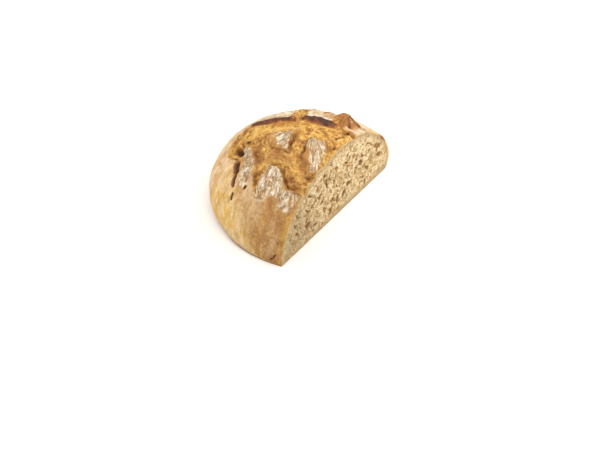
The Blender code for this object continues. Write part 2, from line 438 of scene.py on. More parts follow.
@dataclass(frozen=True)
class Tears:
    """The burst on the left flank and small torn holes: paths, half widths and depths."""

    cracks: tuple[tuple[Path, float, float], ...] = (
        (route(-66.5, -42.5, -60, -42.5, -56, -45.5), 0.0040, 0.0075),
        (route(-64, -52, -57, -54), 0.0013, 0.0022),
        (route(-53.5, -60, -51.5, -68), 0.0038, 0.0046),
        (route(-51.5, -68, -50, -76, -48, -86), 0.0026, 0.0034),
        (route(-43.5, -94, -44, -101), 0.0015, 0.0018),
        (route(-29, -82.5, -28, -84.5), 0.0016, 0.0022),
        (route(-56, -25, -58, -28), 0.0013, 0.0018),
        (route(-62, -30, -60, -33), 0.0012, 0.0016),
        (route(-41, -23, -40, -26), 0.0012, 0.0014),
        (route(24, 10.5, 25.8, 11.5), 0.0012, 0.0026),
        (route(25, 28, 26.8, 30.5), 0.0014, 0.0028),
        (route(26.2, 15, 27, 16.2), 0.0010, 0.0020),
        (route(27.8, -1.2, 28.6, -0.2), 0.0010, 0.0018),
        (route(-30, 24, -24, 15), 0.0010, 0.0022),
        (route(33, -149, 36.5, -145, 38.5, -138), 0.0012, 0.0015),
    )
    burst_place: Place = (-0.0665, -0.0370)
    burst_radius: float = 0.0085
    burst_lift: float = 0.0028

    def depths(self, places: Array) -> tuple[Array, Array]:
        """Return how deep the cracks are and how dark they are painted, 0 to 1, darkest in their middles, where the
        crust's finish paints shade.

        Args:
            places: The places, one a row.

        Returns:
            The depth and the darkness of each place.
        """
        depth = np.zeros(len(places))
        dark = np.zeros(len(places))
        for path, half_width, deep in self.cracks:
            nearest = path_distance(places, path) / half_width
            depth += deep * np.exp(-(nearest**3))
            dark = np.maximum(dark, np.exp(-((nearest / 1.15) ** 4)))
        return depth, dark

    def swelling(self, places: Array) -> Array:
        """Return the lift of the torn dough beside the burst."""
        return self.burst_lift * bell(spot_distance(places, self.burst_place) / self.burst_radius)


@dataclass(frozen=True)
class Patches:
    """Round patches with soft edges: places and radii."""

    spots: tuple[tuple[Place, float], ...]

    def at(self, places: Array) -> Array:
        """Return how far each place is in a patch, 0 to 1.

        Args:
            places: The places, one a row.

        Returns:
            One share for each place.
        """
        clear = np.ones(len(places))
        for spot, radius in self.spots:
            clear *= 1.0 - np.exp(-((spot_distance(places, spot) / radius) ** 4))
        return 1.0 - clear


@dataclass(frozen=True)
class Scorches:
    """Browned streaks with soft edges: paths, half widths and darkness."""

    streaks: tuple[tuple[Path, float, float], ...]

    def at(self, places: Array) -> Array:
        """Return how dark each place is baked, 0 to about 1.

        Args:
            places: The places, one a row.

        Returns:
            One darkness for each place.
        """
        dark = np.zeros(len(places))
        for path, half_width, darkness in self.streaks:
            dark = np.maximum(dark, darkness * bell(path_distance(places, path) / half_width))
        return dark


@dataclass(frozen=True)
class Outlines:
    """Patches with drawn outlines and soft edges."""

    outlines: tuple[Path, ...]
    softness: float = 0.0045

    def at(self, places: Array) -> Array:
        """Return how far each place is in a patch, 0 to 1."""
        nearest = np.min([outline_distance(places, outline) for outline in self.outlines], axis=0)
        return soft_step(0.5 - nearest / self.softness)


@dataclass(frozen=True)
class Peak:
    """A torn peak of crust, steeper on its near side."""

    place: Place
    radius: float
    lift: float
    near_steepness: float = 1.5
    bluntness: float = 2.0

    def at(self, places: Array) -> Array:
        """Return the peak's lift.

        Args:
            places: The places, one a row.

        Returns:
            One lift for each place.
        """
        offset = places - np.array(self.place)
        beside = np.where(offset[:, 1] < 0.0, offset[:, 1] * self.near_steepness, offset[:, 1])
        ragged = 1.0 + 0.16 * Grain(0.008, 2, 5.5).at(places)
        return self.lift * np.exp(-(np.hypot(offset[:, 0], beside) / (self.radius * ragged)) ** self.bluntness)


# Where the crust differs by place, in the same layout as the slashes
FLOURED_PLATES = Outlines((
    route(-29, -14, -14, -1, -7, -11, -1, -30, -10, -32, -18, -28),
    route(2, -1, 18, 4, 29, -8, 38, -28, 37, -41, 30, -41, 25, -35, 19, -27, 13, -20, 6, -15),
    route(
        -15, -52, -10, -47, 4, -47, 10, -58, 15, -67, 24, -65, 34, -63, 34, -74, 34, -84, 29, -89, 20, -87,
        13, -79, 8, -79, 4, -87, -4, -93, -12, -89, -14, -75, -12, -62,
    ),
    route(
        -52, -33, -43, -34, -34, -44, -28.5, -53, -26.8, -62, -26.2, -72, -27.5, -84, -36, -83, -42, -70,
        -46, -56, -53, -44,
    ),
))
KNOB_SCORCHES = Scorches((
    (route(16.5, 42.4, 20.6, 40.5, 24.2, 37.5), 0.0020, 1.02),
    (route(15, 47, 17.5, 45, 21.5, 45, 27, 46.6), 0.0019, 0.92),
    (route(15, 43, 15.5, 38.5, 18, 34.5), 0.0009, 0.66),
    (route(12, 43, 12.2, 38.5, 14.5, 33.5), 0.0012, 0.60),
    (route(9.2, 42.5, 9.8, 37.5), 0.0009, 0.55),
    (route(-12.5, 51.2, -9.5, 51.5), 0.0024, 0.80),
    (route(-9, 45, -4, 43), 0.0050, 0.26),
))
# a painted highlight: a pale streak across the knob's dark front
KNOB_HIGHLIGHT = Scorches(((route(20.5, 42.8, 24.6, 42), 0.0010, 1.0),))
FLOURED_RIM = Scorches((
    (route(-86, -64, -90, -40, -88, -10), 0.0110, 0.75),
    (route(-62, -56.5, -59, -58), 0.0036, 1.0),
))
YELLOW_CREST = Scorches((
    (route(-58, -24, -48, -9, -33, -6, -22, 1, -11, 6), 0.0036, 1.0),
    (route(-70, -42, -74, -30), 0.0050, 0.8),
    (route(-21.9, -61, -19.5, -52.2, -14.1, -45.8, -5, -43.2, 5.5, -42, 13, -45.5), 0.0020, 0.95),
    (route(-4.2, -27, 6, -34.9, 14, -41.5, 23.5, -50), 0.0018, 0.85),
    (route(-2.5, -6, 2.3, 3, 11.3, 7.6, 21.9, 6.6), 0.0020, 0.75),
))
BROWN_BANDS = Scorches((
    (route(-14, 4, -8.5, -6, -5, -22), 0.0024, 0.80),
    (route(-45, -33, -34, -45, -28.5, -57), 0.0028, 0.85),
    (route(-40, -20, -27, -25, -20, -31), 0.0034, 0.70),
    (route(8.5, -22.5, 16, -35, 23.5, -46.5), 0.0038, 0.80),
    (route(10, -19, 16.5, -30, 22.5, -38.5), 0.0038, 0.85),
    (route(13, -56, 22, -60, 30, -64), 0.0042, 0.85),
    (route(-23, -60, -20, -72), 0.0030, 0.70),
    (route(-64, 12, -50, 19, -37, 24), 0.0044, 0.75),
    (route(-6, 40, 6, 40), 0.0055, 0.70),
    (route(8.8, -83.6, 12, -91, 17.6, -97), 0.0030, 0.85),
    (route(23, -92.5, 32, -103, 35, -123), 0.0028, 0.55),
    (route(25.5, 37, 28, 42), 0.0040, 0.65),
    (route(11, 42, 14.5, 37.5, 18.5, 34.5), 0.0030, 0.4),
    (route(23.8, -66, 26.8, -70.5, 29.6, -76.5), 0.0020, 0.75),
))
WRINKLED_SKIN = Patches((
    ((-0.017, -0.016), 0.018), ((0.018, -0.014), 0.018), ((0.026, -0.034), 0.014), ((-0.004, -0.066), 0.021),
    ((0.020, -0.080), 0.021), ((0.034, -0.080), 0.018), ((-0.040, -0.048), 0.014), ((-0.034, -0.070), 0.013),
))
BROWN_SKIN = Patches((
    ((-0.012, -0.037), 0.009), ((0.003, -0.037), 0.006), ((-0.026, -0.050), 0.006), ((-0.036, -0.036), 0.005),
    ((-0.027, 0.026), 0.008), ((0.036, -0.150), 0.008), ((0.037, -0.119), 0.0045),
))
PINK_SKIN = Patches((
    ((-0.019, -0.079), 0.010), ((-0.022, -0.092), 0.009), ((-0.008, -0.088), 0.007),
))
OLIVE_STROKES = Scorches((
    (route(-71.2, -95.7, -68.7, -107.4), 0.0013, 1.0),
    (route(-59.8, -96.3, -54.5, -107.7), 0.0012, 0.9),
    (route(-47.9, -99.5, -45.6, -106.4), 0.0011, 0.8),
    (route(-85.5, -105.6, -78.2, -115.1), 0.0012, 0.8),
))
YELLOW_SKIN = Patches((
    ((-0.072, -0.101), 0.007), ((-0.062, -0.104), 0.005), ((-0.086, -0.104), 0.006), ((-0.098, -0.114), 0.013),
    ((-0.084, -0.128), 0.015), ((-0.062, -0.135), 0.012), ((-0.055, -0.100), 0.005),
    ((-0.050, -0.119), 0.009), ((-0.038, -0.130), 0.008),
))
SMALL_MARKS = Patches((
    ((-0.003, -0.111), 0.0012), ((-0.0065, -0.1125), 0.0011), ((0.036, -0.121), 0.0019),
    ((0.0245, -0.1455), 0.0013), ((0.0355, -0.153), 0.0016), ((0.0375, -0.141), 0.0020),
))


@dataclass
class Sheet:
    """A grid of crust points with what is known of each."""

    points: Array
    fan: Array
    flow: Array
    masks: dict[str, Array]


@dataclass
class Ground:
    """The crust's points before their relief, and how each lies to the slashes and the knob."""

    tilt: Array
    points: Array
    places: Array
    shifted: Array
    fan: Array
    flow: Array
    peaks: Array
    knob: Array
    inside: Array
    curled: Array
    torn: Array
    edge: Array


@dataclass
class Noises:
    """The noises over the crust that its relief and its masks are made of."""

    fold: Array
    folds: Array
    fibres: Array
    chips: Array
    crags: Array
    lumps: Array
    furrows: Array
    waves: Array


@dataclass
class Crust:
    """The whole crust, as a sheet of cells that is drawn over the dome."""

    dome: Dome
    slashes: Slashes = field(default_factory=Slashes)
    ears: Ears = field(default_factory=Ears)
    tears: Tears = field(default_factory=Tears)
    cells: int = 302
    front_cell_share: float = 0.16
    crown_cell_size: float = 0.62
    dome_share: float = 0.90
    arc: float = 0.100
    wave_length: float = 0.045
    wave_height: float = 0.0012
    fade: float = math.pi / 4
    fan_centre: Place = (-0.006, 0.014)
    knob_covers: float = 0.009
    knob_baked: float = 0.34
    thin_flour: float = 0.30
    peaks: tuple[Peak, ...] = (
        Peak((0.0150, 0.0440), 0.0098, 0.0090, 1.5, 2.7),
        Peak((0.0085, 0.0450), 0.0062, 0.0034, 1.2),
        Peak((0.0260, 0.0540), 0.0095, 0.0045, 1.0),
        Peak((-0.0090, 0.0540), 0.0055, 0.0028, 1.0),
    )

    def angles(self) -> tuple[Array, Array]:
        """Return tilt and turn of each grid point. The cells are smaller at the crown and in front.

        Returns:
            The tilts and the turns, each as a square grid.
        """
        steps = np.linspace(-1.0, 1.0, self.cells + 1)
        side, far = np.meshgrid(steps, steps - self.front_cell_share * (1.0 - steps**2), indexing="ij")
        across = side * np.sqrt(1.0 - far**2 / 2.0)
        along = far * np.sqrt(1.0 - side**2 / 2.0)
        reach = np.minimum(np.hypot(across, along), 1.0)
        share = reach / self.dome_share
        over = math.pi / 2 * (self.crown_cell_size * share + (1.0 - self.crown_cell_size) * share**3)
        under = math.pi / 2 * (1.0 + (reach - self.dome_share) / (1.0 - self.dome_share))
        return np.where(reach < self.dome_share, over, under), np.arctan2(along, across)

    def uneven(self, places: Array) -> Array:
        """Return the places shifted a little, so that torn edges run unevenly."""
        coarse = [Grain(0.014, 2, 3.1 + shift).at(places) for shift in (0.0, 20.0)]
        fine = [Grain(0.0045, 2, 9.7 + shift).at(places) for shift in (0.0, 20.0)]
        return places + 0.0018 * np.stack(coarse, axis=-1) + 0.0011 * np.stack(fine, axis=-1)

    def fan(self, places: Array) -> Array:
        """Return the places as distance from the fan's centre and as width round it, for the wrinkles.

        Args:
            places: The places, one a row.

        Returns:
            The reach and the width of each place.
        """
        offset = places - np.array(self.fan_centre)
        reach = np.hypot(offset[:, 0], offset[:, 1])
        angle = np.arctan2(offset[:, 0], -offset[:, 1])
        return np.stack([reach, angle * 0.055], axis=-1)

    def ground(self) -> Ground:
        """Lay out the crust's points and measure how each lies to the slashes and the knob.

        Returns:
            The points with what was measured.
        """
        tilt, turn = (values.ravel() for values in self.angles())
        places = self.arc * tilt[:, None] * np.stack([np.cos(turn), np.sin(turn)], axis=-1)
        shifted = self.uneven(places)
        knob = soft_step(self.peaks[0].at(places) / 0.004)
        inside = self.slashes.inside(shifted) - self.knob_covers * knob
        curled = self.slashes.curled(places)
        return Ground(
            tilt=tilt,
            points=self.dome.points(tilt, turn),
            places=places,
            shifted=shifted,
            fan=self.fan(places),
            flow=np.column_stack([inside, places]),
            peaks=np.sum([peak.at(places) for peak in self.peaks], axis=0),
            knob=knob,
            inside=inside,
            curled=curled,
            torn=soft_step((inside + 0.0008 + 0.0014 * (1.0 - curled)) / 0.0014 + 0.5),
            edge=self.slashes.crevice_shade_and_scorch(places, inside, curled),
        )

    def noises(self, ground: Ground) -> Noises:
        """Sample the noises over the crust.

        Args:
            ground: The crust's points.

        Returns:
            The noises, one value of each for each point.
        """
        fold = Grain(0.0044, 2, 1.3).at(self.fan(ground.shifted), (3.6, 1.0, 1.0))
        crossing = Grain(0.0060, 2, 41.0).at(ground.fan, (1.0, 1.5, 1.0))
        folds = 1.0 - soft_step(np.abs(fold) / 0.16)
        return Noises(
            fold=fold,
            folds=np.maximum(folds, 0.6 * (1.0 - soft_step(np.abs(crossing) / 0.08))),
            fibres=Grain(0.0022, 3, 7.0).at(ground.flow, (1.0, 2.2, 2.2)),
            chips=Grain(0.0036, 3, 27.0).at(ground.places),
            crags=Grain(0.0085, 3, 11.0).at(ground.places),
            lumps=Grain(0.0100, 2, 17.0).at(ground.fan, (2.2, 1.0, 1.0)),
            furrows=Grain(0.0085, 2, 15.0).at(ground.fan, (7.0, 1.0, 1.0)),
            waves=Grain(self.wave_length, 1, 0.0).at(ground.points),
        )

    def relief(self, ground: Ground, noises: Noises, crack_depth: Array, wrinkled: Array) -> Array:
        """Return how far each point stands out of the dome.

        Args:
            ground: The crust's points.
            noises: The noises over it.
            crack_depth: How deep the cracks are.
            wrinkled: Where the skin is wrinkled, 0 to 1.

        Returns:
            The lift of each point, which fades out under the loaf.
        """
        places, torn, crags, chips = ground.places, ground.torn, noises.crags, noises.chips
        foot = self.ears.foot(places)
        relief = self.slashes.relief(ground.shifted, ground.inside, ground.edge, ground.curled, foot)
        relief += self.ears.relief(ground.shifted)
        relief -= crack_depth
        relief += ground.peaks + self.tears.swelling(places) + self.wave_height * noises.waves
        relief += torn * (0.0007 * noises.fibres + 0.0012 * crags + 0.0007 * chips)
        relief += wrinkled * (0.0009 * np.abs(noises.fold) - 0.0010 * noises.folds + 0.0012 * noises.lumps)
        relief += (1.0 - torn) * (0.00045 * noises.furrows + 0.0003 * chips + ground.knob * 0.0012 * crags)
        return relief * soft_step((math.pi - ground.tilt) / self.fade)

    def behind_ears(self, ground: Ground, noises: Noises) -> Array:
        """Return where the skin behind the ears is floured, 0 to 1.

        Args:
            ground: The crust's points.
            noises: The noises over it.

        Returns:
            One share for each point.
        """
        places, shifted, crags = ground.places, ground.shifted, noises.crags
        beyond = np.hypot(places[:, 0], places[:, 1])
        fading = 0.8 * np.clip(-places[:, 0] - 0.070, 0.0, 0.080)
        floured = soft_step((shifted[:, 1] - 0.014 - 0.22 * shifted[:, 0] + fading * (0.4 + 1.2 * crags))
                            / (0.006 + fading))
        return floured * (1.0 - 0.75 * soft_step((beyond + 0.020 * crags - 0.085) / 0.060))

    def masks(self, ground: Ground, noises: Noises, crack_dark_and_shade: Array, wrinkled: Array) -> dict[str, Array]:
        """Return the masks that the crust's finish reads.

        Args:
            ground: The crust's points.
            noises: The noises over it.
            crack_dark_and_shade: How dark the cracks look, 0 to 1.
            wrinkled: Where the skin is wrinkled, 0 to 1.

        Returns:
            The masks by name, one value for each point.
        """
        places, shifted, torn, knob = ground.places, ground.shifted, ground.torn, ground.knob
        across, far = places[:, 0], places[:, 1]
        chips, crags = noises.chips, noises.crags
        # the pale left flank: its pale bake and flour, and partly painted light
        flank_edge = -0.033 - 0.68 * (far + 0.093)
        left_flank = soft_step(0.5 + (flank_edge - across + 0.010 * crags + 0.008 * noises.furrows) / 0.030)
        behind_ears = self.behind_ears(ground, noises)
        plates = FLOURED_PLATES.at(shifted)
        plates *= 1.0 - self.thin_flour * soft_step((-0.067 - far) / 0.012) * (across > 0.0)
        brown = np.maximum(BROWN_SKIN.at(shifted), BROWN_BANDS.at(shifted))
        flour = np.maximum.reduce([plates, behind_ears, FLOURED_RIM.at(shifted)])
        flour *= (1.0 - torn) * (1.0 - 0.85 * brown) * (1.0 - knob)
        haze = 0.55 * np.exp(-((across + 0.008) / 0.026) ** 2 - ((far + 0.104) / 0.028) ** 2)
        pinkish = left_flank * soft_step((far + 0.098) / 0.030)
        cut_band = soft_step((ground.points[:, 0] - self.dome.cut_place + 0.009 + 0.005 * chips) / 0.007)
        cut_band *= 0.55 * soft_step((-0.072 - far) / 0.020)
        near_ears = 0.55 * behind_ears * soft_step((0.090 - far) / 0.030)
        on_top = behind_ears * soft_step((0.048 - far) / 0.014)
        # lighter on the torn dough's raised ridges and darker in its hollows, as painted light and shade; darker on
        # the knob
        ridge = 0.5 + 0.5 * noises.fibres + 0.4 * crags + 0.25 * chips - self.knob_baked * knob
        lump = 0.35 + 0.8 * np.abs(noises.fold) + 0.25 * noises.lumps + 0.35 * on_top
        # the knob's painted highlight, which takes out the scorch and is tinted pink
        knob_highlight = KNOB_HIGHLIGHT.at(places)
        scorched = KNOB_SCORCHES.at(shifted) * (1.0 - knob_highlight) * (1.0 + 0.3 * chips)
        return {
            "torn": np.maximum(torn, knob * 0.9),
            "ridge": np.clip(ridge, 0.0, 1.0),
            "flour": flour,
            "lump": np.clip(lump, 0.0, 1.0),
            "crack": noises.folds * wrinkled,
            "brown": brown,
            "bake": np.maximum(self.ears.bake(shifted), scorched),
            "fold": np.maximum.reduce([WRINKLED_SKIN.at(shifted), plates, near_ears]),
            # a pink tint, and the knob's painted highlight
            "haze": np.maximum.reduce([haze, knob_highlight, pinkish, 0.8 * PINK_SKIN.at(shifted)]),
            # the crevices along the torn edges: painted shade, with scorch
            "edge": ground.edge,
            # dark cracks and small marks, partly painted shade, darkest as painted shade in the cracks' middles
            "hole": np.maximum(crack_dark_and_shade, SMALL_MARKS.at(places) * 0.7),
            "olive": OLIVE_STROKES.at(shifted),
            # the pale left flank, partly painted light
            "flank": left_flank * soft_step((0.040 - far + 0.02 * crags) / 0.05),
            "yellow": np.maximum.reduce([YELLOW_SKIN.at(shifted), cut_band, torn * YELLOW_CREST.at(shifted)]),
            "under": soft_step((ground.tilt - 1.9) / 0.8),
        }

    def sheet(self) -> Sheet:
        """Build the crust's points with their relief, and the masks that its finish reads.

        Returns:
            The finished sheet.
        """
        ground = self.ground()
        noises = self.noises(ground)
        crack_depth, crack_dark_and_shade = self.tears.depths(ground.shifted)
        wrinkled = WRINKLED_SKIN.at(ground.shifted) * (1.0 - ground.torn)
        relief = self.relief(ground, noises, crack_depth, wrinkled)
        size = self.cells + 1
        grid = ground.points.reshape(size, size, 3)
        normals = np.cross(np.gradient(grid, axis=0), np.gradient(grid, axis=1))
        normals /= np.linalg.norm(normals, axis=-1, keepdims=True) + 1e-12
        moved = ground.points + normals.reshape(-1, 3) * relief[:, None]
        return Sheet(moved, ground.fan, ground.flow, self.masks(ground, noises, crack_dark_and_shade, wrinkled))


# The mixing of a cell's numbers into repeatable draws
COLUMN_PRIME = 73856093
ROW_PRIME = 19349663
SEED_PRIME = 83492791
MIXING_ROUNDS = ((15, 0x2C1B3C6D), (12, 0x297A2D39))
WORD_BITS = 0xFFFFFFFF
DRAW_BITS = 0xFFFFFF


def cell_draws(column: Array, row: Array, seed: int, count: int) -> list[Array]:
    """Return repeatable random numbers from 0 to 1 for grid cells.

    Args:
        column: The cells' columns.
        row: The cells' rows.
        seed: The draw's seed.
        count: How many numbers are drawn for each cell.

    Returns:
        One array of numbers for each draw.
    """
    draws = []
    for index in range(count):
        mixed = (column.astype(np.int64) * COLUMN_PRIME) ^ (row.astype(np.int64) * ROW_PRIME)
        mixed = (mixed ^ ((seed * 31 + index) * SEED_PRIME)) & WORD_BITS
        for shift, factor in MIXING_ROUNDS:
            mixed = ((mixed ^ (mixed >> shift)) * factor) & WORD_BITS
        draws.append(((mixed ^ (mixed >> 15)) & DRAW_BITS) / DRAW_BITS)
    return draws


def dish(ratio: Array) -> Array:
    """Return a pore's depth as a share, from its middle at ratio 0 to its edge at 1."""
    return np.clip(1.0 - ratio**2.5, 0.0, 1.0) ** 0.8


@dataclass(frozen=True)
class PoreLayer:
    """Pores of one size range, one at most in each cell of a jittered grid."""

    spacing: float
    low: float
    high: float
    share: float
    depth: float
    seed: int

    def depths(self, across: Array, up: Array, room: Callable[[Array, Array], Array]) -> Array:
        """Return the depth of this layer's pores.

        Args:
            across: Places along the cut.
            up: Heights on the cut.
            room: Gives how freely pores grow at a place, 0 to 1.

        Returns:
            The depth at each place, 0 between the pores.
        """
        deepest = np.zeros(across.shape)
        column = np.floor(across / self.spacing).astype(int)
        row = np.floor(up / self.spacing).astype(int)
        for side in (-1, 0, 1):
            for rise in (-1, 0, 1):
                draws = cell_draws(column + side, row + rise, self.seed, 6)
                middle_across = (column + side + draws[0]) * self.spacing
                middle_up = (row + rise + draws[1]) * self.spacing
                size = self.low + (self.high - self.low) * draws[2] ** 2.5
                freedom = room(middle_across, middle_up)
                size = size * (0.55 + 0.45 * freedom) * (draws[3] < self.share * freedom)
                angle = math.pi * draws[4]
                longer = 1.0 + 0.9 * draws[5] ** 2
                along, beside = turned(across - middle_across, up - middle_up, np.cos(angle), np.sin(angle))
                ratio = np.hypot(along / longer, beside * np.sqrt(longer)) / np.maximum(size, 1e-9)
                deepest = np.maximum(deepest, self.depth * size * dish(ratio))
        return deepest


@dataclass(frozen=True)
class NamedPore:
    """A large pore that stands out on the cut."""

    across: float
    up: float
    half_width: float
    half_height: float
    slant: float
    depth: float
    golden: float = 0.0


@dataclass
class Crumb:
    """The open crumb on the cut, with pores of all sizes."""

    outline: Array
    fine_step: float = 0.00052
    coarse_step: float = 0.0012
    look_step: float = 0.0003
    raster_step: float = 0.0008
    crust_thickness: float = 0.0022
    layers: tuple[PoreLayer, ...] = (
        PoreLayer(0.0098, 0.0016, 0.0046, 0.70, 0.52, 11),
        PoreLayer(0.0048, 0.0008, 0.0022, 0.66, 0.70, 23),
        PoreLayer(0.0022, 0.00040, 0.0009, 0.85, 1.2, 37),
    )
    named: tuple[NamedPore, ...] = tuple(NamedPore(*sizes) for sizes in (
        (-0.029, 0.066, 0.0026, 0.0026, 0, 0.0040),
        (-0.025, 0.053, 0.0017, 0.0080, 12, 0.0038),
        (-0.018, 0.073, 0.0030, 0.0014, -40, 0.0024),
        (-0.006, 0.062, 0.0034, 0.0022, -35, 0.0024, 1.0),
        (0.014, 0.057, 0.0040, 0.0020, -20, 0.0028, 1.0),
        (0.001, 0.046, 0.0030, 0.0014, -40, 0.0022),
        (0.035, 0.049, 0.0032, 0.0014, -35, 0.0026),
        (0.047, 0.047, 0.0028, 0.0015, -45, 0.0024),
        (0.061, 0.046, 0.0036, 0.0013, -35, 0.0026),
        (0.060, 0.057, 0.0026, 0.0013, -45, 0.0022),
        (-0.042, 0.058, 0.0018, 0.0026, 0, 0.0022, 0.6),
        (-0.055, 0.055, 0.0028, 0.0013, -35, 0.0024),
        (-0.062, 0.041, 0.0050, 0.0015, -40, 0.0024),
        (-0.085, 0.035, 0.0030, 0.0014, -45, 0.0024),
        (-0.081, 0.023, 0.0036, 0.0020, -35, 0.0030, 0.8),
        (-0.029, 0.024, 0.0022, 0.0013, -20, 0.0022),
        (0.021, 0.036, 0.0030, 0.0014, -40, 0.0022),
        (0.084, 0.041, 0.0028, 0.0013, -30, 0.0020),
    ))

    def __post_init__(self) -> None:
        """Measure the distance to the cut's edge once, on a raster."""
        margin = 0.004
        self.low = self.outline.min(axis=0) - margin
        high = self.outline.max(axis=0) + margin
        columns, rows = (np.ceil((high - self.low) / self.raster_step).astype(int) + 1).tolist()
        places = grid_places(self.low[0] + np.arange(columns) * self.raster_step,
                             self.low[1] + np.arange(rows) * self.raster_step)
        step = max(1, len(self.outline) // 120)
        outline = [tuple(point) for point in self.outline[::step].tolist()]
        self.inward = -outline_distance(places, outline).reshape(columns, rows)

    def rim_distance(self, across: Array, up: Array) -> Array:
        """Return each place's distance in from the edge of the cut, less than 0 outside it.

        Args:
            across: Places along the cut.
            up: Heights on the cut.

        Returns:
            One distance for each place.
        """
        column = np.clip((across - self.low[0]) / self.raster_step, 0, self.inward.shape[0] - 1.001)
        row = np.clip((up - self.low[1]) / self.raster_step, 0, self.inward.shape[1] - 1.001)
        left, below = column.astype(int), row.astype(int)
        right_share, above_share = column - left, row - below
        lower = self.inward[left, below] * (1 - right_share) + self.inward[left + 1, below] * right_share
        upper = self.inward[left, below + 1] * (1 - right_share) + self.inward[left + 1, below + 1] * right_share
        return lower * (1 - above_share) + upper * above_share

    def room(self, across: Array, up: Array) -> Array:
        """Return how freely pores grow, less in the denser bands under the crust and over the base."""
        inward = self.rim_distance(across, up)
        roof = soft_step((inward - 0.002) / 0.012)
        return np.where(inward < 0.0006, 0.0, 0.15 + 0.85 * roof)

    def depths(self, across: Array, up: Array) -> tuple[Array, Array]:
        """Return the pores' depth and how golden their inside is, at places on the cut.

        Args:
            across: Places along the cut.
            up: Heights on the cut.

        Returns:
            The depth and the golden share of each place.
        """
        flat = np.stack([across.ravel(), up.ravel()], axis=-1)
        shift = [0.0016 * Grain(0.0040, 3, 4.0 + offset).at(flat).reshape(across.shape)
                 for offset in (0.0, 30.0)]
        side = across + shift[0]
        rise = up + shift[1]
        deepest = np.zeros(across.shape)
        for layer in self.layers:
            deepest = np.maximum(deepest, layer.depths(side, rise, self.room))
        golden = np.zeros(across.shape)
        for pore in self.named:
            slant = math.radians(pore.slant)
            along, beside = turned(side - pore.across, rise - pore.up, math.cos(slant), math.sin(slant))
            ratio = np.hypot(along / pore.half_width, beside / pore.half_height)
            deepest = np.maximum(deepest, pore.depth * dish(ratio))
            golden = np.maximum(golden, pore.golden * soft_step((1.35 - ratio) / 0.4))
        inward = self.rim_distance(across, up)
        return deepest * soft_step(inward / 0.0012), golden

    def scattered(self) -> Array:
        """Return places for the crumb's vertices: an even scatter, much closer at the pores' walls.

        Returns:
            The places, one a row.
        """
        low = self.outline.min(axis=0)
        high = self.outline.max(axis=0)
        columns, rows = (np.ceil((high - low) / self.look_step).astype(int) + 1).tolist()
        across, up = np.meshgrid(low[0] + np.arange(columns) * self.look_step,
                                 low[1] + np.arange(rows) * self.look_step, indexing="ij")
        depth, _ = self.depths(across, up)
        steepness = np.hypot(*np.gradient(depth, self.look_step))
        steep = np.maximum.reduce([np.roll(steepness, shift, (0, 1)) for shift in ((0, 0), (1, 0), (0, 1), (1, 1))])
        draw = np.random.default_rng(5)
        chosen = []
        for step, wanted in ((self.coarse_step, False), (self.fine_step, True)):
            places = grid_places(np.arange(low[0], high[0], step), np.arange(low[1], high[1], step))
            places += draw.uniform(-0.28, 0.28, places.shape) * step
            cell = ((places - low) / self.look_step).round().astype(int)
            cell = np.clip(cell, 0, np.array(steep.shape) - 1)
            is_steep = steep[cell[:, 0], cell[:, 1]] > 0.35
            chosen.append(places[is_steep == wanted])
        places = np.concatenate(chosen)
        inward = self.rim_distance(places[:, 0], places[:, 1])
        return places[inward > 0.0005]


class Shade:
    """A value in a material's node tree, which Python expressions can use."""

    def __init__(self, graph: "Graph", socket: bpy.types.NodeSocket) -> None:
        """Keep the tree and the socket that gives the value."""
        self.graph = graph
        self.socket = socket

    def _math(self, operation: str, first: "Shade | float", second: "Shade | float") -> "Shade":
        """Add a Math node and return its result."""
        return self.graph.add("ShaderNodeMath", {"operation": operation}, {0: first, 1: second})

    def __add__(self, other: "Shade | float") -> "Shade":
        """Return the sum."""
        return self._math("ADD", self, other)

    def __radd__(self, other: float) -> "Shade":
        """Return the sum with a number on the left."""
        return self._math("ADD", other, self)

    def __sub__(self, other: "Shade | float") -> "Shade":
        """Return the difference."""
        return self._math("SUBTRACT", self, other)

    def __rsub__(self, other: float) -> "Shade":
        """Return the difference from a number on the left."""
        return self._math("SUBTRACT", other, self)

    def __mul__(self, other: "Shade | float") -> "Shade":
        """Return the product."""
        return self._math("MULTIPLY", self, other)

    def __rmul__(self, other: float) -> "Shade":
        """Return the product with a number on the left."""
        return self._math("MULTIPLY", other, self)

    def __abs__(self) -> "Shade":
        """Return the size without its sign."""
        return self._math("ABSOLUTE", self, 0.0)

    def most(self, other: "Shade | float") -> "Shade":
        """Return the larger of two values."""
        return self._math("MAXIMUM", self, other)

    def least(self, other: "Shade | float") -> "Shade":
        """Return the smaller of two values."""
        return self._math("MINIMUM", self, other)

    def step(self, low: float, high: float) -> "Shade":
        """Return a soft step from 0 at low to 1 at high."""
        return self.graph.add("ShaderNodeMapRange", {"interpolation_type": "SMOOTHSTEP"},
                              {"Value": self, "From Min": low, "From Max": high})


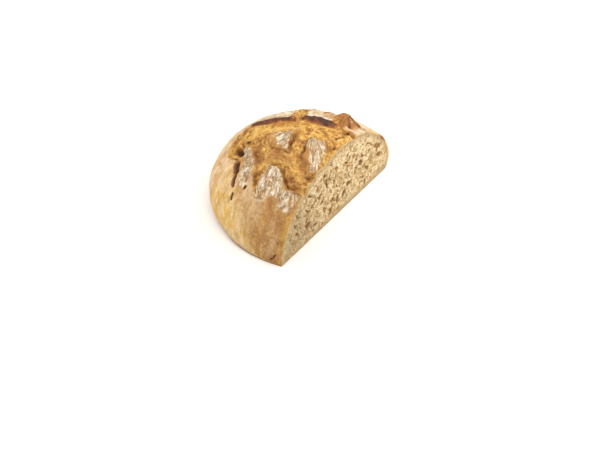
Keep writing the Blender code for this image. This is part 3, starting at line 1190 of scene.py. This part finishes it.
class Graph:
    """A material and its node tree."""

    def __init__(self, name: str) -> None:
        """Start an empty material."""
        self.material = bpy.data.materials.new(name)
        self.material.use_nodes = True
        self.tree = self.material.node_tree
        self.tree.nodes.clear()

    def add(self, kind: str, settings: dict[str, object] | None = None,
            sockets: dict[str | int, object] | None = None, output: str | int = 0) -> Shade:
        """Add a node.

        Args:
            kind: The node's type.
            settings: The node's own settings, set first; "stops" are a ramp's places and colours.
            sockets: Values or links for its input sockets.
            output: The output that is wanted.

        Returns:
            That output.
        """
        node = self.tree.nodes.new(kind)
        for name, value in (settings or {}).items():
            if name == "stops":
                elements = node.color_ramp.elements
                while len(elements) < len(value):
                    elements.new(0.5)
                for element, (place, colour) in zip(elements, value):
                    element.position = place
                    element.color = colour
            else:
                setattr(node, name, value)
        for name, value in (sockets or {}).items():
            if isinstance(value, Shade):
                self.tree.links.new(value.socket, node.inputs[name])
            else:
                node.inputs[name].default_value = value
        return Shade(self, node.outputs[output])

    def mask(self, name: str) -> Shade:
        """Return a mask that the mesh holds."""
        return self.add("ShaderNodeAttribute", {"attribute_name": name}, output="Fac")

    def vector(self, name: str) -> Shade:
        """Return a vector that the mesh holds."""
        return self.add("ShaderNodeAttribute", {"attribute_name": name}, output="Vector")

    def object_places(self) -> Shade:
        """Return the place in the object's own axes."""
        return self.add("ShaderNodeTexCoord", output="Object")

    def scaled(self, vector: Shade, scale: Sequence[float]) -> Shade:
        """Return a vector with each axis multiplied."""
        return self.add("ShaderNodeVectorMath", {"operation": "MULTIPLY"}, {0: vector, 1: tuple(scale)})

    def grain(self, vector: Shade, size: float, detail: float = 2.0, roughness: float = 0.5,
              distortion: float = 0.0) -> Shade:
        """Return noise of one grain size, from 0 to 1."""
        return self.add("ShaderNodeTexNoise", {"noise_dimensions": "3D"},
                        {"Vector": vector, "Scale": 1.0 / size, "Detail": detail, "Roughness": roughness,
                         "Distortion": distortion})

    def cells(self, vector: Shade, size: float) -> Shade:
        """Return distances inside irregular cells of one size."""
        return self.add("ShaderNodeTexVoronoi", {"voronoi_dimensions": "3D", "feature": "F1"},
                        {"Vector": vector, "Scale": 1.0 / size}, output="Distance")

    def ramp(self, value: Shade, stops: Sequence[tuple[float, Colour]]) -> Shade:
        """Return the colour that a value has on a ramp of colours."""
        return self.add("ShaderNodeValToRGB", {"stops": stops}, {0: value})

    def mix(self, factor: Shade | float, first: Shade | Colour, second: Shade | Colour) -> Shade:
        """Return a mix of two colours."""
        return self.add("ShaderNodeMix", {"data_type": "RGBA", "clamp_factor": True},
                        {0: factor, 6: first, 7: second}, output=2)

    def paint(self, colour: Shade, *layers: tuple[Shade, Shade | Colour]) -> Shade:
        """Return a colour with others laid over it, each by its own factor."""
        for factor, over in layers:
            colour = self.mix(factor, colour, over)
        return colour

    def finish(self, colour: Shade | Colour, roughness: Shade | float, height: Shade, distance: float,
               constants: dict[str, object]) -> bpy.types.Material:
        """Close the material with its surface.

        Args:
            colour: The base colour.
            roughness: The roughness.
            height: The fine relief, 0 to 1.
            distance: How deep that relief is, in metres.
            constants: Values that are the same all over, for the shader's own sockets.

        Returns:
            The finished material.
        """
        bump = self.add("ShaderNodeBump", None, {"Height": height, "Distance": distance, "Strength": 1.0})
        shader = self.add("ShaderNodeBsdfPrincipled", None,
                          {"Base Color": colour, "Roughness": roughness, "Normal": bump, **constants})
        output = self.tree.nodes.new("ShaderNodeOutputMaterial")
        self.tree.links.new(shader.socket, output.inputs["Surface"])
        return self.material


@dataclass(frozen=True)
class CrustFinish:
    """The baked crust: golden where it is torn, floured or tan on the skin, dark where it is scorched, with painted
    shade in its crevices, cracks and hollows and painted light on its ridges, its knob's streak and its left flank.
    """

    # the torn dough's golds; the darkest also paints shade in its hollows
    golden_deep: Colour = srgb("6f4218")
    golden_dark: Colour = srgb("9a6424")
    golden: Colour = srgb("ba8431")
    # painted highlights on the torn dough's ridges and bumps
    golden_highlight: Colour = srgb("dbb363")
    tan: Colour = srgb("a5743a")
    tan_light: Colour = srgb("bd9150")
    cream: Colour = srgb("e0bf7e")
    highlight: Colour = srgb("f0daa8")
    pink: Colour = srgb("dcbb90")
    yellow: Colour = srgb("d9aa48")
    ochre: Colour = srgb("b98338")
    ochre_deep: Colour = srgb("93642a")
    flour: Colour = srgb("d8b88c")
    flour_white: Colour = srgb("f1dfc6")
    flour_tan: Colour = srgb("b68a58")
    flour_crack: Colour = srgb("785536")
    brown: Colour = srgb("9a6230")
    baked: Colour = srgb("a0621f")
    scorch: Colour = srgb("723e18")
    scorch_deep: Colour = srgb("452819")
    # painted shade with scorch, for the crevices along the torn edges
    edge: Colour = srgb("6e4522")
    # inside the cracks: a brown that is partly painted shade, and painted shade for their deep middles
    hole: Colour = srgb("95602f")
    hole_deep_shade: Colour = srgb("4c2810")
    under: Colour = srgb("a8733c")

    def build(self) -> bpy.types.Material:
        """Build the crust's material.

        Returns:
            The material.
        """
        graph = Graph("baked_crust")
        fan = graph.vector("fan")
        flow = graph.vector("flow")
        space = graph.object_places()
        torn, flour, crack, brown, bake, flank, hole = (
            graph.mask(name) for name in ("torn", "flour", "crack", "brown", "bake", "flank", "hole"))

        mottle = graph.grain(space, 0.013, 3.0)
        blotch = graph.grain(space, 0.0045, 3.0, 0.55)
        freckle = graph.grain(space, 0.0026, 2.0, 0.5)
        speckle = graph.grain(space, 0.0014, 3.0, 0.6)
        streaks = graph.grain(graph.scaled(fan, (0.14, 1.0, 1.0)), 0.0026, 3.0)
        fibres = graph.grain(graph.scaled(flow, (1.0, 0.42, 0.42)), 0.0017, 4.0, 0.62)
        pits = graph.cells(space, 0.0044)
        bands = graph.grain(graph.scaled(fan, (0.13, 1.0, 1.0)), 0.0085, 3.0, 0.55, 0.4)
        veins = abs(graph.grain(graph.scaled(fan, (0.16, 1.0, 1.0)), 0.0058, 3.0, 0.6, 0.5) - 0.5)
        front = abs(graph.add("ShaderNodeSeparateXYZ", None, {0: fan}, output=1)).step(0.090, 0.060)
        wrinkles = abs(graph.grain(graph.scaled(fan, (0.24, 1.0, 1.0)), 0.0032, 2.0, 0.55, 0.8) - 0.5)
        creases = abs(graph.grain(graph.scaled(fan, (0.5, 1.0, 1.0)), 0.0022, 2.0, 0.55, 0.7) - 0.5)

        haze, yellow = graph.mask("haze"), graph.mask("yellow")
        pale = graph.mix((mottle * 0.5 + streaks * 0.5 + haze * 0.20).step(0.50, 0.70), self.cream, self.pink)
        veined = front * veins.step(0.030, 0.004) * (0.10 + blotch * 0.7) * (1.0 - flank * 0.55)
        skin = graph.paint(
            graph.mix((mottle * 0.4 + blotch * 0.3 + streaks * 0.4).step(0.42, 0.66), self.tan, self.tan_light),
            (streaks.step(0.46, 0.32) * 0.30, self.brown),
            (streaks.step(0.54, 0.68) * 0.40, self.cream),
            (freckle.step(0.47, 0.35) * 0.62, self.brown),
            (freckle.step(0.54, 0.68) * 0.45, self.cream),
            (speckle.step(0.49, 0.36) * 0.60, self.brown),
            (speckle.step(0.56, 0.70) * 0.45, self.cream),
            # pink tint, and the knob's painted highlight
            ((haze * (0.30 + blotch * 0.9)).least(0.9), self.pink),
            # the left flank painted paler: its pale bake and flour, and partly painted light, with painted
            # highlights in its streaks
            ((flank * (0.80 + mottle * 0.4)).least(1.0), pale),
            (flank * streaks.step(0.50, 0.36) * 0.62, self.tan_light),
            (flank * freckle.step(0.46, 0.32) * 0.55, self.tan_light),
            (flank * streaks.step(0.53, 0.66) * 0.48, self.highlight),
            (flank * freckle.step(0.54, 0.66) * 0.40, self.highlight),
            (front * bands.step(0.51, 0.38) * 0.55, self.ochre),
            (front * bands.step(0.53, 0.65) * (0.32 + flank * 0.31), self.pink),
            (veined, self.ochre_deep),
            (graph.mask("olive") * 0.75, self.ochre_deep),
            (yellow * blotch.step(0.30, 0.55) * 0.85, self.yellow),
            ((brown * (freckle * 0.5 + blotch * 0.5).step(0.30, 0.60)).least(0.9), self.brown),
        )

        fold = graph.mask("fold")
        lines = (wrinkles.step(0.060, 0.010) * 0.9).most(creases.step(0.034, 0.006) * 0.65)
        lines = lines * (0.15 + fold * 0.85)
        height = graph.mask("lump") * 0.5 + speckle * 0.2 + blotch * 0.2 + wrinkles * (fold * 1.8 + 0.4)
        dusted = graph.ramp(height, ((0.34, self.flour_tan), (0.56, self.flour), (0.84, self.flour_white)))
        dusted = graph.mix((lines * 0.62).most(crack * 0.30), dusted, self.flour_crack)
        skin = graph.mix((flour * (0.50 + blotch * 1.0)).step(0.26, 0.74), skin, dusted)

        # the torn dough: painted highlights on its ridges and bumps and painted shade in its hollows, over its own
        # golden, brown and yellow tones
        gold = graph.paint(
            graph.ramp(graph.mask("ridge") * 0.45 + fibres * 0.55,
                       ((0.25, self.golden_deep), (0.39, self.golden_dark), (0.51, self.golden),
                        (0.66, self.golden_highlight))),
            (speckle.step(0.46, 0.32) * 0.65, self.golden_deep),
            (pits.step(0.17, 0.05) * mottle.step(0.40, 0.54) * 0.85, self.golden_deep),
            # small painted highlights on the bumps
            (freckle.step(0.54, 0.66) * 0.75, self.golden_highlight),
            ((brown * (0.35 + blotch * 0.8)).least(0.85), self.brown),
            (mottle.step(0.50, 0.36) * 0.42, self.golden_dark),
            (yellow * (0.08 + blotch * 0.7), self.yellow),
            ((yellow + speckle * 0.2).step(0.86, 1.08) * 0.40, self.cream),
        )
        heat = bake * (0.72 + blotch * 0.55)
        crust = graph.paint(
            graph.mix(torn, skin, gold),
            # the crevices along the torn edges: painted shade, with scorch
            ((graph.mask("edge") * 0.8).least(0.75), self.edge),
            (heat.step(0.06, 0.46) * (0.45 + fibres * 0.8), self.baked),
            (heat.step(0.42, 0.86), self.scorch),
            (heat.step(0.84, 1.20), self.scorch_deep),
            # the cracks and small marks, partly painted shade, with painted shade in the cracks' deep middles
            (hole.step(0.10, 0.55), self.hole),
            (hole.step(0.55, 1.00), self.hole_deep_shade),
            (graph.mask("under"), self.under),
        )

        relief = speckle * 0.35 + freckle * 0.3 + fibres * torn * 0.9 + lines * flour * -0.7 + blotch * 0.25
        roughness = 0.62 + flour * 0.25 - torn * 0.08
        return graph.finish(crust, roughness, relief, 0.0011, {"Specular IOR Level": 0.35})


@dataclass(frozen=True)
class CrumbFinish:
    """The soft pale crumb: darker in its pores and between its lumps as painted shade, paler on its raised clots as
    painted light, greyer and painted darker towards the near, low end, and golden next to the crust.
    """

    crumb: Colour = srgb("caa871")
    # painted light on the raised clots
    crumb_highlight: Colour = srgb("efd8ac")
    crumb_warm: Colour = srgb("d2a566")
    # denser crumb under the crust, and painted shade towards the near, low end
    crumb_grey_and_shade: Colour = srgb("a99069")
    # painted shade: in the pores, darker where they are deep, in small pores that are only bumped, and between lumps
    pore: Colour = srgb("9c7442")
    pore_deep_shade: Colour = srgb("5f3f1e")
    golden: Colour = srgb("b98338")
    crust: Colour = srgb("e0b878")
    crust_dark: Colour = srgb("94602c")
    bran: Colour = srgb("7a5530")

    def build(self) -> bpy.types.Material:
        """Build the crumb's material.

        Returns:
            The material.
        """
        graph = Graph("crumb")
        space = graph.object_places()
        depth = graph.mask("pore")
        dense = graph.mask("dense")
        mottle = graph.grain(space, 0.008, 3.0)
        lumps = graph.grain(space, 0.0052, 2.0, 0.5)
        clots = graph.grain(space, 0.0030, 3.0, 0.6)
        fine = graph.grain(space, 0.0012, 3.0, 0.6)
        tiny = graph.cells(space, 0.0017)
        specks = graph.cells(space, 0.0034)

        crust = graph.mix(graph.mask("far_end") * (0.5 + clots), self.crust, self.crust_dark)
        crumb = graph.paint(
            # paler on the raised clots, as painted light
            graph.mix((clots * 0.5 + lumps * 0.5).step(0.40, 0.55), self.crumb, self.crumb_highlight),
            # darker patches between the lumps: painted shade
            (lumps.step(0.47, 0.36) * 0.42, self.pore),
            (mottle.step(0.52, 0.66) * 0.55, self.crumb_warm),
            # greyer: denser crumb under the crust, and painted shade towards the near, low end
            ((dense * (0.35 + clots)).least(0.85), self.crumb_grey_and_shade),
            # painted shade in small pores that are only bumped
            (tiny.step(0.40, 0.18) * fine.step(0.32, 0.54) * 0.9, self.pore),
            (specks.step(0.22, 0.09) * clots.step(0.30, 0.50), self.bran),
            # painted shade in the pores, darker where they are deeper
            (depth.step(0.04, 0.46), self.pore),
            (depth.step(0.46, 1.15), self.pore_deep_shade),
            (graph.mask("gold") * 0.8, self.golden),
            ((graph.mask("rim") * (0.6 + fine * 0.8)).step(0.35, 0.75), crust),
        )

        height = fine * 0.5 + tiny.step(0.0, 0.35) * 0.6 + clots * 0.8
        return graph.finish(crumb, 0.8, height, 0.0009, {"Specular IOR Level": 0.25})


@dataclass(frozen=True)
class PaperFinish:
    """The plain pale surface under the loaf."""

    paper: Colour = srgb("f4f3f1")

    def build(self) -> bpy.types.Material:
        """Build the floor's material."""
        graph = Graph("pale_paper")
        tooth = graph.grain(graph.object_places(), 0.004, 2.0)
        return graph.finish(self.paper, 0.9, tooth, 0.00005, {"Specular IOR Level": 0.1})


class Face(Enum):
    """The loaf's material slots."""

    CRUST = 0
    CRUMB = 1


def add_object(name: str, data: bpy.types.ID) -> bpy.types.Object:
    """Add an object with this data to the scene."""
    thing = bpy.data.objects.new(name, data)
    bpy.context.scene.collection.objects.link(thing)
    return thing


def crown_foot(dome: Dome) -> Vector:
    """Return the point on the ground under the loaf's crown."""
    _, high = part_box("loaf")
    return Vector((high[0] - dome.cut_place, CROWN_ACROSS, 0.0))


@dataclass
class Loaf:
    """The cut loaf as one closed mesh: crust, flat base and open crumb."""

    dome: Dome
    base_step: float = 0.004
    chord_step: float = 0.0012
    dense_reach: float = 0.012
    dark_corner: Place = (0.089, 0.047)
    dark_corner_reach: float = 0.011
    masks: tuple[str, ...] = ("torn", "ridge", "flour", "lump", "crack", "brown", "bake", "fold", "haze", "edge",
                              "hole", "olive", "flank", "yellow", "under", "pore", "rim", "dense", "gold", "far_end")

    def crust_mesh(self) -> bmesh.types.BMesh:
        """Return the crust's sheet, cut off at the cut, with its masks as layers.

        Returns:
            The open mesh, without its cut and its base.
        """
        crust = Crust(self.dome)
        sheet = crust.sheet()
        size = crust.cells + 1
        corner = np.arange(size * size).reshape(size, size)
        quads = np.stack([corner[:-1, :-1], corner[1:, :-1], corner[1:, 1:], corner[:-1, 1:]], axis=-1)
        data = bpy.data.meshes.new("crust_sheet")
        data.from_pydata(sheet.points.tolist(), [], quads.reshape(-1, 4).tolist())
        for name in self.masks:
            values = sheet.masks.get(name, np.zeros(len(sheet.points)))
            data.attributes.new(name, "FLOAT", "POINT").data.foreach_set("value", values.astype(np.float32))
        for name, columns in (("fan", sheet.fan), ("flow", sheet.flow)):
            vectors = np.zeros((len(columns), 3), np.float32)
            vectors[:, :columns.shape[1]] = columns
            data.attributes.new(name, "FLOAT_VECTOR", "POINT").data.foreach_set("vector", vectors.ravel())
        mesh = bmesh.new()
        mesh.from_mesh(data)
        bpy.data.meshes.remove(data)
        bmesh.ops.bisect_plane(mesh, geom=mesh.verts[:] + mesh.edges[:] + mesh.faces[:],
                               plane_co=(self.dome.cut_place, 0.0, 0.0), plane_no=(1.0, 0.0, 0.0),
                               clear_outer=True)
        return mesh

    def open_edge(self, mesh: bmesh.types.BMesh) -> tuple[list[bmesh.types.BMVert], list[bmesh.types.BMVert]]:
        """Return the sheet's open edge as two runs: along the cut, and round the base, both from the near end.

        Args:
            mesh: The crust's open mesh.

        Returns:
            The run along the cut and the run round the base.
        """
        beside: dict[bmesh.types.BMVert, list[bmesh.types.BMVert]] = {}
        for edge in mesh.edges:
            if edge.is_boundary:
                first, second = edge.verts
                beside.setdefault(first, []).append(second)
                beside.setdefault(second, []).append(first)
        corners = [vert for vert in beside
                   if abs(vert.co.x - self.dome.cut_place) < 1e-6 and abs(vert.co.z) < 1e-6]
        near = min(corners, key=lambda vert: vert.co.y)
        runs = []
        for start in beside[near]:
            run = [near, start]
            while run[-1] not in corners:
                run.append(next(vert for vert in beside[run[-1]] if vert is not run[-2]))
            runs.append(run)
        runs.sort(key=lambda run: -max(vert.co.z for vert in run))
        return runs[0], runs[1]

    def fill(self, mesh: bmesh.types.BMesh, ring: list[bmesh.types.BMVert], inner: Array,
             flat: Callable[[Vector], Place], lifted: Callable[[Place], Vector],
             outward: Vector, slot: Face) -> list[bmesh.types.BMVert]:
        """Fill a flat ring with triangles through inner places.

        Args:
            mesh: The mesh that is filled.
            ring: The ring's vertices, in order.
            inner: The inner places, in the ring's plane.
            flat: Turns a point into its place in the plane.
            lifted: Turns a place into its point.
            outward: The way the faces look.
            slot: Their material slot.

        Returns:
            The new inner vertices, in the order of their places.
        """
        count = len(ring)
        places = [Vector(flat(vert.co)) for vert in ring] + [Vector(place) for place in inner.tolist()]
        edges = [(index, (index + 1) % count) for index in range(count)]
        out = geometry.delaunay_2d_cdt(places, edges, [], 1, 1e-8)
        verts = []
        added = []
        for place, origins in zip(out[0], out[3]):
            if origins and origins[0] < count:
                verts.append(ring[origins[0]])
            else:
                verts.append(mesh.verts.new(lifted(tuple(place))))
                added.append(verts[-1])
        for corners in out[2]:
            face = mesh.faces.new([verts[corner] for corner in corners])
            face.normal_update()
            if face.normal.dot(outward) < 0.0:
                face.normal_flip()
            face.material_index = slot.value
            face.smooth = True
        return added

    def build(self) -> bpy.types.Object:
        """Build the loaf and dress it.

        Returns:
            The finished loaf.
        """
        mesh = self.crust_mesh()
        for face in mesh.faces:
            face.smooth = True
        LOG.info("crust: %d faces", len(mesh.faces))
        cut_run, base_run = self.open_edge(mesh)
        near, far = cut_run[0], cut_run[-1]
        if base_run[-1] is not far:
            raise ValueError("the base's edge doesn't end at the far end of the cut")
        steps = int((far.co.y - near.co.y) / self.chord_step)
        chord = [mesh.verts.new(near.co.lerp(far.co, index / steps)) for index in range(1, steps)]

        low = Vector((min(vert.co.x for vert in base_run), near.co.y - 0.02))
        high = Vector((self.dome.cut_place, far.co.y + 0.02))
        grid = np.meshgrid(np.arange(low.x, high.x, self.base_step), np.arange(low.y, high.y, self.base_step))
        places = np.stack([axis.ravel() for axis in grid], axis=-1)
        rim = [(vert.co.x, vert.co.y) for vert in base_run]
        places = places[outline_distance(places, rim) < -0.002]
        self.fill(mesh, base_run + chord[::-1], places, lambda point: (point.x, point.y),
                  lambda place: Vector((*place, 0.0)), Vector((0.0, 0.0, -1.0)), Face.CRUST)

        ring = cut_run + chord[::-1]
        outline = np.array([(vert.co.y, vert.co.z) for vert in ring])
        crumb = Crumb(outline)
        inner = crumb.scattered()
        added = self.fill(mesh, ring, inner, lambda point: (point.y, point.z),
                          lambda place: Vector((self.dome.cut_place, *place)), Vector((1.0, 0.0, 0.0)),
                          Face.CRUMB)
        self.open_pores(mesh, crumb, ring + added)
        LOG.info("crumb: %d vertices", len(added))
        return self.dress(mesh)

    def open_pores(self, mesh: bmesh.types.BMesh, crumb: Crumb, verts: list[bmesh.types.BMVert]) -> None:
        """Press the pores into the cut and write the crumb's masks.

        Args:
            mesh: The closed mesh.
            crumb: The crumb, with its pores.
            verts: The vertices that lie on the cut.
        """
        across = np.array([vert.co.y for vert in verts])
        up = np.array([vert.co.z for vert in verts])
        depth, golden = crumb.depths(across, up)
        inward = np.maximum(crumb.rim_distance(across, up), 0.0)
        places = np.stack([across, up], axis=-1)
        swell = 0.0005 * Grain(0.008, 3, 2.0).at(places) - 0.0005
        swell += 0.00026 * Grain(0.0024, 2, 6.0).at(places)
        sunk = depth - np.minimum(swell, 0.0) * soft_step(inward / 0.002)
        far_end = bell(spot_distance(places, self.dark_corner) / self.dark_corner_reach)
        thickness = crumb.crust_thickness * (1.0 + 0.5 * Grain(0.012, 2, 8.0).at(places) + 1.1 * far_end)
        masks = {
            # the pores' depth, which the crumb's finish paints as shade
            "pore": np.clip(depth / 0.0026, 0.0, 1.2),
            "rim": (1.0 - soft_step(inward / thickness - 0.3)) * soft_step((up - 0.003) / 0.004),
            # denser crumb under the crust, and painted shade towards the near, low end of the cut
            "dense": np.maximum(1.0 - soft_step(inward / self.dense_reach),
                                0.8 * soft_step((-across - 0.5 * up - 0.005) / 0.075)),
            "gold": golden,
            "far_end": far_end,
        }
        layers = {name: mesh.verts.layers.float[name] for name in masks}
        for index, vert in enumerate(verts):
            if inward[index] > 1e-5 and not vert.co.z < 1e-6:
                vert.co.x -= sunk[index]
            for name, values in masks.items():
                vert[layers[name]] = float(values[index])

    def dress(self, mesh: bmesh.types.BMesh) -> bpy.types.Object:
        """Turn the finished mesh into the loaf, in the frame, with its materials.

        Args:
            mesh: The finished mesh, which is used up.

        Returns:
            The loaf.
        """
        bmesh.ops.translate(mesh, verts=mesh.verts[:], vec=crown_foot(self.dome))
        data = bpy.data.meshes.new("cut_loaf")
        mesh.to_mesh(data)
        mesh.free()
        data.set_sharp_from_angle(angle=math.radians(70))
        data.materials.append(CrustFinish().build())
        data.materials.append(CrumbFinish().build())
        loaf = add_object("cut_loaf", data)
        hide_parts("loaf")
        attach(loaf, "root")
        data.calc_loop_triangles()
        LOG.info("loaf: %d triangles", len(data.loop_triangles))
        return loaf


def direction(side: float, rise: float) -> Vector:
    """Return the way from the loaf to a place that is turned and raised by two angles."""
    return Vector((math.sin(side) * math.cos(rise), -math.cos(side) * math.cos(rise), math.sin(rise)))


@dataclass(frozen=True)
class Lamp:
    """A soft square lamp that looks at the loaf. Its angles are in degrees."""

    name: str
    azimuth: float
    elevation: float
    distance: float
    size: float
    power: float
    colour: Colour = srgb("ffffff")

    def build(self) -> bpy.types.Object:
        """Hang the lamp.

        Returns:
            The lamp.
        """
        way = direction(math.radians(self.azimuth), math.radians(self.elevation))
        data = bpy.data.lights.new(self.name, "AREA")
        data.size = self.size
        data.energy = self.power
        data.color = self.colour[:3]
        lamp = add_object(self.name, data)
        lamp.location = way * self.distance
        lamp.rotation_euler = (-way).to_track_quat("-Z", "Y").to_euler()
        return lamp


@dataclass
class Studio:
    """A pale floor, soft light and the camera."""

    azimuth: float = math.radians(33)
    elevation: float = math.radians(37)
    focal_pixels: float = 1300.0
    image_width: float = 600.0
    sensor_width: float = 36.0
    pixel_size: float = 0.0011
    foot_from_middle: Place = (9.1, 24.5)
    floor_half: float = 3.0
    room_light: float = 0.50
    lamps: tuple[Lamp, ...] = (
        Lamp("key", -72.0, 54.0, 1.6, 0.9, 12.5, srgb("fffaf2")),
        Lamp("top", 60.0, 80.0, 1.7, 1.2, 11.0),
        Lamp("far", 128.0, 46.0, 0.62, 0.35, 2.2),
    )

    def directions(self) -> tuple[Vector, Vector, Vector]:
        """Return the camera's right, up and back."""
        right = Vector((math.cos(self.azimuth), math.sin(self.azimuth), 0.0))
        back = direction(self.azimuth, self.elevation)
        return right, back.cross(right), back

    def camera(self, foot: Vector) -> bpy.types.Object:
        """Place the camera so that the loaf's foot stands where the photograph has it.

        Args:
            foot: The point on the ground under the crown.

        Returns:
            The camera.
        """
        right, up, back = self.directions()
        across, above = (pixels * self.pixel_size for pixels in self.foot_from_middle)
        target = foot - right * across - up * above
        data = bpy.data.cameras.new("camera")
        data.sensor_width = self.sensor_width
        data.lens = self.focal_pixels / self.image_width * self.sensor_width
        camera = add_object("camera", data)
        camera.location = foot + back * (self.focal_pixels * self.pixel_size)
        camera.rotation_euler = (target - camera.location).to_track_quat("-Z", "Y").to_euler()
        bpy.context.scene.camera = camera
        return camera

    def floor(self) -> bpy.types.Object:
        """Lay the pale floor.

        Returns:
            The floor.
        """
        mesh = bmesh.new()
        bmesh.ops.create_grid(mesh, x_segments=1, y_segments=1, size=self.floor_half)
        data = bpy.data.meshes.new("floor")
        mesh.to_mesh(data)
        mesh.free()
        data.materials.append(PaperFinish().build())
        floor = add_object("floor", data)
        return floor

    def world(self) -> None:
        """Fill the room with soft white light."""
        world = bpy.data.worlds.new("studio")
        world.use_nodes = True
        background = world.node_tree.nodes["Background"]
        background.inputs["Color"].default_value = srgb("ffffff")
        background.inputs["Strength"].default_value = self.room_light
        bpy.context.scene.world = world
        bpy.context.scene.view_settings.view_transform = "Standard"

    def build(self) -> None:
        """Build the whole studio."""
        self.floor()
        self.world()
        for lamp in self.lamps:
            lamp.build()
        self.camera(crown_foot(Dome()))


def main() -> None:
    """Build the loaf and its studio, and report each piece."""
    logging.basicConfig(level=logging.INFO, format="%(name)s: %(message)s")
    loaf = Loaf(Dome()).build()
    LOG.info("built %s", loaf.name)
    Studio().build()
    LOG.info("built the studio")


if __name__ == "__main__":
    main()
